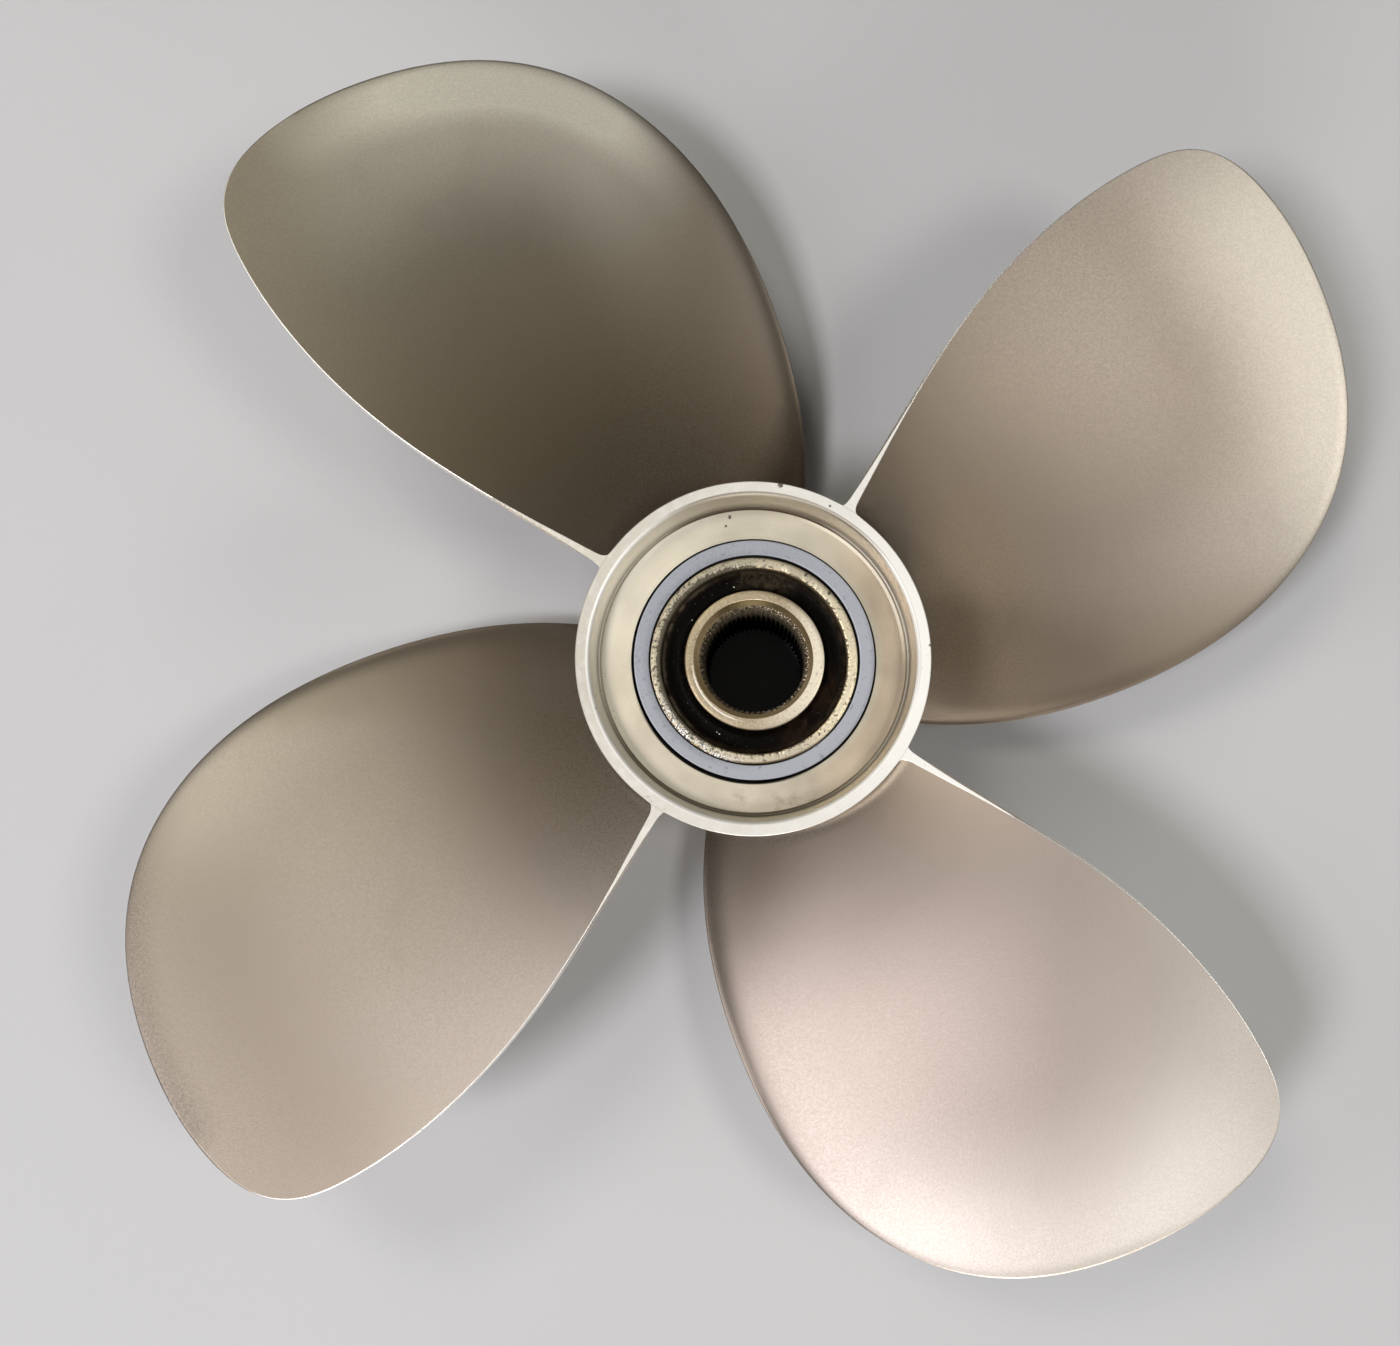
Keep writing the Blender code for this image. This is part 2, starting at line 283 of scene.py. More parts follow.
def blade_row(radius, margin):
    """One closed section as arc, height and distances to the trailing and leading edges.

    It runs from the leading edge along the forward face to the trailing edge, which is at its
    middle, and back along the aft face. What stands above the hub's aft end is faced off.
    Margin is how far the root's fillet stands out there.
    """
    share = max(0.0, (radius - HUB_RADIUS) / (TIP_RADIUS - HUB_RADIUS))
    way = sqrt((TIP_RADIUS - radius) / (TIP_RADIUS - HUB_RADIUS))
    trailing, leading = edge_angle(-way) * radius, edge_angle(way) * radius
    across = places_across(trailing - leading, way)
    arc = trailing + (leading - trailing) * across
    angle = arc / radius
    pitch = PITCH_AT_HUB + (PITCH_AT_TIP - PITCH_AT_HUB) * share
    slope = atan2(pitch, 2 * pi * radius)
    height = (HUB_LENGTH - GENERATOR_DROP + AFT_RAKE_AT_TIP * share ** 2
              + ROOT_LIFT * (1 - share) ** ROOT_LIFT_FADE
              + pitch * (np.degrees(angle) - GENERATOR_ANGLE) / 360)
    middle = TIP_THICKNESS + (ROOT_THICKNESS - TIP_THICKNESS) * (1 - share) ** THICKNESS_TAPER
    swell = (4 * across * (1 - across)) ** SECTION_FULLNESS
    depth = EDGE_THICKNESS + (middle - EDGE_THICKNESS) * swell
    plan = np.stack([radius * np.cos(angle), radius * np.sin(angle)], 1)
    to_trailing, trailing_place = distance_to(plan, TRAILING_EDGE)
    to_leading, leading_place = distance_to(plan, LEADING_EDGE)
    roll_width = ROLL_WIDTH_AT_ROOT + (ROLL_WIDTH_AT_TIP - ROLL_WIDTH_AT_ROOT) * share
    roll = ROLL_DROP_SHARE * middle / roll_width * rounding(to_leading, roll_width)
    roll *= smooth_step(leading_place / ROLL_START)
    roll = np.minimum(roll, depth / 2)
    nose = NOSE_SHARE * (depth - roll) / 2
    square = 1 - smooth_step((trailing_place - SQUARE_EDGE_END) / (1 - SQUARE_EDGE_END))
    corner = nose + (np.minimum(nose, SQUARE_EDGE_CORNER) - nose) * square
    fall = np.maximum(rounding(to_leading, np.minimum(nose, EDGE_THICKNESS / 2)),
                      rounding(to_trailing, np.minimum(corner, EDGE_THICKNESS / 2)))
    from_cut = to_trailing + CUT_FADE * (1 - square)
    aft, forward = [np.stack([arc + d * sin(slope), height - d * cos(slope), from_cut,
                              to_leading], 1) for d in (roll + fall, depth - fall)]
    row = np.concatenate([forward[::-1], aft])
    if margin:
        run = (np.roll(row, -1, 0) - np.roll(row, 1, 0))[:, :2]
        run /= np.linalg.norm(run, axis=1)[:, None]
        inner = smooth_step((trailing - np.concatenate([arc[::-1], arc])) / FILLET_SWELL_WIDTH)
        reach = margin * (TRAILING_FILLET_SHARE + (1 - TRAILING_FILLET_SHARE) * inner)
        row[:, :2] += reach[:, None] * np.stack([run[:, 1], -run[:, 0]], 1)
    return faced(row)


def faced(row):
    """A section with what stands above the hub's aft end cut off flat."""
    above = np.flatnonzero(row[:, 1] > HUB_LENGTH)
    if not len(above):
        return row
    last = len(row) - 1
    places = []
    for inside, outside in ((above[0], above[0] - 1), (above[-1], above[-1] + 1)):
        part = (HUB_LENGTH - row[outside, 1]) / (row[inside, 1] - row[outside, 1])
        places.append(outside + (inside - outside) * part)
    steps = np.arange(len(row))
    before, after = facet_ends(row)
    wanted = np.interp(steps, [0, before, after, last], [0, places[0], places[1], last])
    cut = np.stack([np.interp(wanted, steps, row[:, k]) for k in range(row.shape[1])], 1)
    share = np.linspace(0, 1, after - before + 1)[:, None]
    cut[before:after + 1] = cut[before] + (cut[after] - cut[before]) * share
    cut[before:after + 1, 1] = HUB_LENGTH
    # The facet is all trailing edge
    cut[before:after + 1, 2] = 0
    return cut


def facet_ends(row):
    """First and last point of a section's trailing edge, which the facing cut takes off."""
    return len(row) // 2 - 1 - EDGE_STEPS, len(row) // 2 + EDGE_STEPS


def blade_rows():
    """Radius and section of each row, from the hub's wall to the last one before the tip."""
    span = TIP_RADIUS - HUB_RADIUS
    turns = [pi / 2 * k / FILLET_STEPS for k in range(FILLET_STEPS + 1)]
    radii = [(HUB_RADIUS + FILLET_RADIUS * (1 - cos(turn)), FILLET_RADIUS * (1 - sin(turn)))
             for turn in turns]
    start = HUB_RADIUS + FILLET_RADIUS
    radii += [(start + ROOT_ROWS_REACH * k / ROOT_ROWS, 0) for k in range(1, ROOT_ROWS + 1)]
    nose = [EDGE_THICKNESS / 2 * (1 - cos(pi / 2 * k / EDGE_STEPS))
            for k in range(EDGE_STEPS, 0, -1)]
    first = sqrt((TIP_RADIUS - start - ROOT_ROWS_REACH) / span)
    last = sqrt(nose[0] / span)
    radii += [(edge_radius(first + (last - first) * k / OUTER_ROWS), 0)
              for k in range(1, OUTER_ROWS + 1)]
    radii += [(TIP_RADIUS - drop, 0) for drop in nose[1:]]
    cut, clear = start, TIP_RADIUS - EDGE_THICKNESS
    while clear - cut > FACING_END_STEP / 10:
        middle = (cut + clear) / 2
        if blade_row(middle, 0)[:, 1].max() > FACED_HEIGHT:
            cut = middle
        else:
            clear = middle
    radii += [(cut + FACING_END_STEP * step, 0) for step in FACING_END_ROWS]
    radii.sort()
    return [(radius, blade_row(radius, margin)) for radius, margin in radii]


class Shell:
    """Points and faces of a mesh under construction, with the finish of each face."""

    def __init__(self):
        self.points, self.edges, self.faces, self.finish = [], [], [], []

    def add(self, radius, angle, height, edges=(1.0, 1.0)):
        """A point, with its distances to a blade's trailing and leading edges."""
        self.points.append((radius * cos(angle), radius * sin(angle), height))
        self.edges.append(edges)
        return len(self.points) - 1

    def face(self, corners, finish=0):
        kept = [c for i, c in enumerate(corners) if c != corners[i - 1]]
        if len(kept) > 2:
            self.faces.append(kept)
            self.finish.append(finish)

    def strip(self, one, other, finish=0):
        """Faces between two rows of the same number of points."""
        for i in range(len(one) - 1):
            self.face([one[i], one[i + 1], other[i + 1], other[i]], finish)


CAST, MACHINED = 0, 1


def inside(point, outline):
    """Whether a flat point lies inside a closed outline."""
    found = False
    for (x0, y0), (x1, y1) in zip(outline, np.roll(outline, -1, 0)):
        if (y0 > point[1]) != (y1 > point[1]):
            if point[0] < x0 + (x1 - x0) * (point[1] - y0) / (y1 - y0):
                found = not found
    return found


def hub_outline():
    """Radius and height of the hub's turned faces, from the rim through the bore to the front."""
    floor, seat = HUB_LENGTH - RECESS_DEPTH, HUB_LENGTH - RING_SEAT_DEPTH
    edge, corner, deep = FORWARD_EDGE_BREAK, FORWARD_RECESS_CORNER, FORWARD_RECESS_DEPTH

    def stepped(radius, height, steps):
        return [(radius + outwards, height + upwards) for outwards, upwards in steps]

    return [(HUB_RADIUS - RIM_FLAT_WIDTH, HUB_LENGTH),
            *stepped(RIM_RADIUS, HUB_LENGTH, RIM_EDGE),
            *stepped(RECESS_RADIUS, floor, GROOVE_OUTER_EDGE),
            *stepped(RELIEF_INNER_RADIUS, floor, GROOVE_INNER_EDGE),
            (FLOOR_ROW_RADIUS, floor), *stepped(RING_SEAT_RADIUS, floor, RING_SEAT_EDGE),
            (RING_SEAT_RADIUS, seat), (BORE_RADIUS, seat),
            (BORE_RADIUS, deep + edge), (BORE_RADIUS + edge, deep),
            (FORWARD_RECESS_RADIUS - corner, deep), (FORWARD_RECESS_RADIUS, deep - corner),
            (FORWARD_RECESS_RADIUS, edge), (FORWARD_RECESS_RADIUS + edge, 0),
            (HUB_RADIUS - FORWARD_CHAMFER, 0)]


def casting_quarter():
    """One blade with its quarter of the hub, ready to be turned round and joined."""
    shell = Shell()
    rows = blade_rows()
    grid = [[shell.add(radius, arc / radius, height, edges) for arc, height, *edges in row]
            for radius, row in rows]
    for one, other in zip(grid, grid[1:]):
        for i in range(len(one)):
            corners = [one[i - 1], one[i], other[i], other[i - 1]]
            flat = all(shell.points[c][2] > FACED_HEIGHT for c in corners)
            shell.face(corners, MACHINED if flat else CAST)
    tip_share = AFT_RAKE_AT_TIP + PITCH_AT_TIP * (EDGE_ANGLES[5] - GENERATOR_ANGLE) / 360
    slope = atan2(PITCH_AT_TIP, 2 * pi * TIP_RADIUS)
    tip = shell.add(TIP_RADIUS, edge_angle(0) + EDGE_THICKNESS / 2 * sin(slope) / TIP_RADIUS,
                    HUB_LENGTH - GENERATOR_DROP + tip_share - EDGE_THICKNESS / 2 * cos(slope),
                    (0.0, 0.0))
    for i in range(len(grid[-1])):
        shell.face([grid[-1][i - 1], grid[-1][i], tip])

    root = rows[0][1]
    loop = grid[0]
    before, after = facet_ends(root)
    turns = root[:, 0] / HUB_RADIUS
    start, end = PANEL_START, PANEL_START + pi / 2

    def even(one, other):
        """Angles at even steps between two, without these two."""
        count = max(1, ceil(abs(other - one) / PANEL_STEP))
        return [one + (other - one) * k / count for k in range(1, count)]

    def broken(angle):
        """Edge break of the rim, which runs out where the blade is faced flush with it."""
        clear = min(abs(angle - turns[before]), abs(angle - turns[after])) * HUB_RADIUS
        return RIM_EDGE_BREAK * min(1, RIM_BREAK_AT_CUT + clear / RIM_BREAK_RUN)

    high = [end] + even(end, turns[before])
    low = even(turns[after], start) + [start]
    angles = high + list(turns[before:after + 1]) + low

    def rim_row(inwards, downwards):
        """Points on one side of the rim's edge break, with the blade's facing cut among them."""
        sides = [[shell.add(HUB_RADIUS - inwards * broken(a), a, HUB_LENGTH - downwards * broken(a))
                  for a in part] for part in (high, low)]
        return sides[0] + loop[before:after + 1] + sides[1]

    top, rim = rim_row(0, 1), rim_row(1, 0)
    shell.strip(top, rim, MACHINED)

    foot = [shell.add(HUB_RADIUS, a, FORWARD_CHAMFER) for a in angles]
    rises = np.linspace(FORWARD_CHAMFER, HUB_LENGTH - RIM_EDGE_BREAK,
                        round(HUB_LENGTH / PANEL_ROW))[1:-1]
    seams = [[shell.add(HUB_RADIUS, a, z) for z in rises] for a in (start, end)]
    hub_side = loop[:before][::-1] + loop[after + 1:][::-1]
    outline = (top[:len(high)] + [loop[before]] + hub_side + [loop[after]] + top[-len(low):]
               + seams[0][::-1] + foot[::-1] + seams[1])

    def unrolled(index):
        x, y, z = shell.points[index]
        around = atan2(y, x)
        if around < start - 0.1:
            around += 2 * pi
        return around * HUB_RADIUS * 1000, z * 1000

    flat = [unrolled(i) for i in outline]
    ring = np.array([(a * HUB_RADIUS * 1000, z * 1000) for a, z in zip(turns, root[:, 1])])
    ring = np.concatenate([ring, ring[:1]])
    count = len(flat)
    sides = start * HUB_RADIUS * 1000, flat[0][0]
    spots = []
    for i, z in enumerate(rises):
        for a in np.arange(start + PANEL_STEP * (0.5 + 0.5 * (i % 2)), end, PANEL_STEP):
            spot = np.array([a * HUB_RADIUS * 1000, z * 1000])
            if not sides[0] + SEAM_CLEARANCE <= spot[0] <= sides[1] - SEAM_CLEARANCE:
                continue
            if distance_to(spot[None], ring)[0][0] > ROOT_CLEARANCE and not inside(spot, ring[:-1]):
                spots.append(spot)
    made = delaunay_2d_cdt([Vector(p) for p in flat] + [Vector(p) for p in spots],
                           [(i, (i + 1) % count) for i in range(count)], [], 1, 1e-5)
    indices = []
    for place, origin in zip(made[0], made[3]):
        if origin and origin[0] < count:
            indices.append(outline[origin[0]])
        else:
            indices.append(shell.add(HUB_RADIUS, place[0] / 1000 / HUB_RADIUS, place[1] / 1000))
    for corners in made[2]:
        shell.face([indices[c] for c in corners])

    last = rim
    for radius, height in hub_outline():
        fresh = [shell.add(radius, a, height) for a in angles]
        shell.strip(last, fresh, MACHINED)
        last = fresh
    shell.strip(last, foot, MACHINED)
    return shell


def piece(name, shell, finishes, weld=False):
    """An object from a shell, with smooth shading between sharp edges."""
    mesh = bpy.data.meshes.new(name)
    mesh.from_pydata(shell.points, [], shell.faces)
    for look in finishes:
        mesh.materials.append(look)
    mesh.polygons.foreach_set("material_index", shell.finish)
    for side, label in enumerate(("trailing_distance", "leading_distance")):
        measure = mesh.attributes.new(label, "FLOAT", "POINT")
        measure.data.foreach_set("value", [both[side] for both in shell.edges])
    build = bmesh.new()
    build.from_mesh(mesh)
    if weld:
        bmesh.ops.remove_doubles(build, verts=build.verts, dist=1e-6)
    bmesh.ops.recalc_face_normals(build, faces=build.faces)
    for edge in build.edges:
        if len({face.material_index for face in edge.link_faces}) > 1:
            edge.smooth = False
    build.to_mesh(mesh)
    build.free()
    sharp = [edge.use_edge_sharp for edge in mesh.edges]
    mesh.shade_smooth()
    mesh.set_sharp_from_angle(angle=SHARP_ANGLE)
    for edge, cut in zip(mesh.edges, sharp):
        edge.use_edge_sharp = edge.use_edge_sharp or cut
    made = bpy.data.objects.new(name, mesh)
    bpy.context.scene.collection.objects.link(made)
    return made


def sum_sign(operation, swapped=False):
    """What an arithmetic sign does on a Value: it adds a Math node to the material."""
    def add_node(self, other):
        pair = (other, self) if swapped else (self, other)
        return self.look.node("Math", {"operation": operation}, dict(enumerate(pair)))

    return add_node


class Value:
    """A number or a colour that varies over a surface."""

    def __init__(self, look, socket):
        self.look, self.socket = look, socket

    __add__, __radd__ = sum_sign("ADD"), sum_sign("ADD", True)
    __sub__, __rsub__ = sum_sign("SUBTRACT"), sum_sign("SUBTRACT", True)
    __mul__, __rmul__ = sum_sign("MULTIPLY"), sum_sign("MULTIPLY", True)
    __truediv__, __pow__ = sum_sign("DIVIDE"), sum_sign("POWER")

    def ramp(self, low, high):
        """0 at low, 1 at high and smooth between them; low may be the greater."""
        return self.look.node("MapRange", {"interpolation_type": "SMOOTHSTEP"},
                              {"Value": self, "From Min": low, "From Max": high})

    def mm(self, low, high):
        """The same for a length, with low and high in millimetres."""
        return self.ramp(low / 1000, high / 1000)

    def spread(self, low, high):
        """A number from low to high, where this one goes from 0 to 1."""
        return low + (high - low) * self

    def mix(self, one, other):
        """One colour where this is 0, the other where it is 1."""
        one, other = [(*c, 1.0) if isinstance(c, tuple) else c for c in (one, other)]
        return self.look.node("Mix", {"data_type": "RGBA"},
                              {0: self, 6: one, 7: other}, 2)


class Look:
    """A material that ends in one Principled shader."""

    def __init__(self, name, **constants):
        self.material = bpy.data.materials.new(name)
        self.material.use_nodes = True
        self.tree = self.material.node_tree
        self.shader = self.tree.nodes["Principled BSDF"]
        for socket, value in constants.items():
            self.shader.inputs[socket.replace("_", " ")].default_value = value
        self.place = self.node("TexCoord", output="Object")
        self.x, self.y, self.z = [self.node("SeparateXYZ", None, {0: self.place}, axis)
                                  for axis in "XYZ"]
        self.radius = (self.x * self.x + self.y * self.y) ** 0.5

    def node(self, kind, settings=None, inputs=None, output=0):
        """Adds a node, sets it up, fills its sockets and gives one of its outputs."""
        made = self.tree.nodes.new("ShaderNode" + kind)
        for name, value in (settings or {}).items():
            setattr(made, name, value)
        for name, value in (inputs or {}).items():
            self.feed(made.inputs[name], value)
        return Value(self, made.outputs[output])

    def feed(self, socket, value):
        if isinstance(value, Value):
            self.tree.links.new(value.socket, socket)
        else:
            socket.default_value = value

    def set(self, name, value):
        self.feed(self.shader.inputs[name], value)

    def toward(self, degrees, low=None, high=None):
        """1 in a direction round the shaft and 0 opposite, or the ramp of that from low to high."""
        turn = radians(degrees)
        near = 0.5 + 0.5 * (self.x * cos(turn) + self.y * sin(turn)) / self.radius
        return near if low is None else near.ramp(low, high)

    def spot(self, x, y, reach, ragged=0.0):
        """1 at a small mark whose place is given in millimetres, with an uneven outline."""
        gap = ((self.x - x / 1000) ** 2.0 + (self.y - y / 1000) ** 2.0) ** 0.5
        if ragged:
            gap = gap + ragged / 1000 * (self.noise(1300, 2, 0.6) - 0.5)
        return gap.mm(reach, 0.6 * reach)

    def noise(self, scale, detail=2.0, roughness=0.5, finer=None, distortion=0.0):
        """Noise from 0 to 1, finer by so many times along X, Y and Z where that is given."""
        place = self.place
        if finer:
            place = self.node("VectorMath", {"operation": "MULTIPLY"},
                              {0: place, 1: finer})
        return self.node("TexNoise", None,
                         {"Vector": place, "Scale": scale, "Detail": detail,
                          "Roughness": roughness, "Distortion": distortion}, "Fac")

    def line_noise(self, along, scale, detail=2.0):
        """Noise along one measure only, such as turning lines along the radius."""
        return self.node("TexNoise", {"noise_dimensions": "1D"},
                         {"W": along, "Scale": scale, "Detail": detail}, "Fac")

    def coats(self, colour, *coats):
        """A colour with others laid over it in turn, each with the share it covers before it."""
        for share, coat in coats:
            colour = share.mix(colour, coat)
        return colour

    def bump(self, height, strength, distance, under=None):
        inputs = {"Height": height, "Strength": strength, "Distance": distance}
        if under:
            inputs["Normal"] = under
        return self.node("Bump", None, inputs)

    def surface(self, colour, roughness, normal):
        """The finished material."""
        for name, value in ("Base Color", colour), ("Roughness", roughness), ("Normal", normal):
            self.set(name, value)
        return self.material


def cast_skin():
    """Bead-blasted nickel-aluminium bronze: fine grain, soft clouds, painted highlights on leading
    edges, painted shade.
    """
    look = Look("cast_skin", Metallic=1.0)
    x, y, radius = look.x, look.y, look.radius
    grain = look.noise(2300, 2, 0.6)
    speckle = look.noise(900, 3, 0.65)
    clouds = look.noise(7, 2, 0.5)
    stains = look.noise(1.0, 5, 0.62, (30.0, 19.0, 30.0), 0.4)
    trailing, leading = [look.node("Attribute", {"attribute_name": name}, None, "Fac")
                         for name in ("trailing_distance", "leading_distance")]
    # A rubbed trailing edge, smoother and lighter, with a painted highlight line along it
    cut_edge = trailing.mm(0.45, 0.15)
    upper, lower = y.mm(10, 90), y.mm(-40, -100)
    upper_left = upper * x.mm(-20, -75) * x.mm(-215, -125)
    upper_right = x.mm(30, 80) * y.mm(-10, 100)
    lower_right = lower * x.mm(0, 90)
    lower_left = x.mm(0, -50) * y.mm(20, -30)
    near_cut = lower_left * trailing.mm(70, 2) * radius.mm(240, 110)
    # Painted highlight: a sheen along the leading edges and tips, strongest on the upper-left
    # blade, and near the lower-left blade's trailing root
    from_edge = 0.66 * leading.mm(30, 11) + 0.66 * leading.mm(85, 12)
    painted_sheen = (upper_left * from_edge * leading.mm(-4, 6)
             + 0.41 * upper_right * leading.mm(74, 2)
             + 0.14 * upper_right * radius.mm(225, 265)
             + 0.24 * lower_right * leading.mm(72, 8)
             + 0.15 * lower_right * radius.mm(205, 250)
             + 0.26 * lower_right * x.mm(120, 175)
             + lower_left * (0.06 + 0.11 * leading.mm(50, 10)) + 0.06 * near_cut)
    root = radius.mm(165, 72)
    shaded = (root * (0.6 - 0.5 * x.mm(35, 70) * y.mm(-60, 10))
              + 0.46 * upper * x.mm(-110, -30) * radius.mm(210, 120)
              + 0.62 * lower * x.mm(-100, -160) * radius.mm(190, 260)
              + 0.18 * root * lower * x.mm(50, 10) * x.mm(-30, 0)
              + 0.3 * x.mm(-20, -60) * y.mm(0, -30) * radius.mm(160, 100))
    # Painted shade along the rolled leading edges, wider on the lower blades
    edge_shade = leading.mm(1.7, 0.6)
    edge_shade = edge_shade + (1 - edge_shade) * lower * x.mm(45, -10) * leading.mm(15, 1)
    # Painted shade in the corner where the blades' roots meet the hub, deeper on the lower-right
    # blade
    corner = radius.mm(79.5, 73.5) * (0.35 + 0.45 * lower * x.mm(0, 20))
    # Painted tint of the light: olive on the outer part of the upper-left blade, lighter where the
    # sheen is
    olive = upper * x.mm(20, -60) * radius.mm(150, 210)
    # Painted shade: darker and browner towards the root of the upper-left blade
    brown_root_shade = upper * x.mm(20, -50) * radius.mm(230, 130)
    # Painted shade: darker and browner on the lower part of the upper-right blade
    shade_under_right = x.mm(80, 130) * y.mm(55, 0) * y.mm(-60, -30)
    # Painted light: a lighter, warmer patch at the root of the upper-right blade
    lit_root_patch = x.mm(45, 85) * y.mm(-40, 15) * y.mm(110, 40) * radius.mm(150, 100)
    # Painted tint of the light: grey-green on the outer part of the lower-left blade
    grey_green = x.mm(-30, -90) * y.mm(-140, -190)
    # Painted shade: darker along the upper edge of the lower-left blade
    upper_edge_shade = x.mm(-85, -110) * y.mm(-35, -10) * y.mm(30, 10)
    # Painted tint of the light: mauve over the lower blades, lighter where the sheen is, less
    # towards the right
    mauve = lower * (x.mm(-80, -20) + x.mm(-10, 40)).spread(0.35, 0.7) * (1 - 0.75 * x.mm(80, 150))
    bronze = look.coats(
        clouds.ramp(0.35, 0.65).mix((0.362, 0.306, 0.25), (0.388, 0.334, 0.276)),
        (painted_sheen, (0.98, 0.92, 0.8)),
        (0.7 * olive, painted_sheen.mix((0.36, 0.318, 0.225), (0.95, 0.91, 0.76))),
        (mauve, painted_sheen.mix((0.398, 0.34, 0.302), (0.97, 0.91, 0.83))),
        (0.95 * brown_root_shade, (0.345, 0.262, 0.145)),
        (0.85 * shade_under_right, (0.34, 0.265, 0.18)),
        (0.8 * lit_root_patch, (0.6, 0.45, 0.285)),
        # Painted shade: a soft dark patch in the middle of the lower-right blade
        (0.4 * look.spot(100, -150, 100), (0.19, 0.156, 0.128)),
        (0.6 * grey_green, (0.345, 0.308, 0.245)),
        (0.5 * upper_edge_shade, (0.3, 0.232, 0.15)),
        (shaded, lower.mix((0.198, 0.143, 0.078), (0.19, 0.15, 0.112))),
        (corner, (0.095, 0.078, 0.06)),
        (0.55 * edge_shade * x.mm(80, 30), (0.12, 0.1, 0.078)),
        (0.16 * stains.ramp(0.56, 0.72), (0.26, 0.215, 0.165)),
        (0.5 * grain.ramp(0.38, 0.6) + 0.25 * speckle.ramp(0.4, 0.6),
         painted_sheen.mix((0.292, 0.246, 0.2), (0.76, 0.7, 0.6))),
        (0.95 * cut_edge, (0.95, 0.93, 0.87)))
    return look.surface(bronze, speckle.spread(0.46, 0.54) - 0.12 * cut_edge + 0.04 * root,
                        look.bump(speckle, 0.3, 0.0001, look.bump(grain, 0.35, 0.00006)))


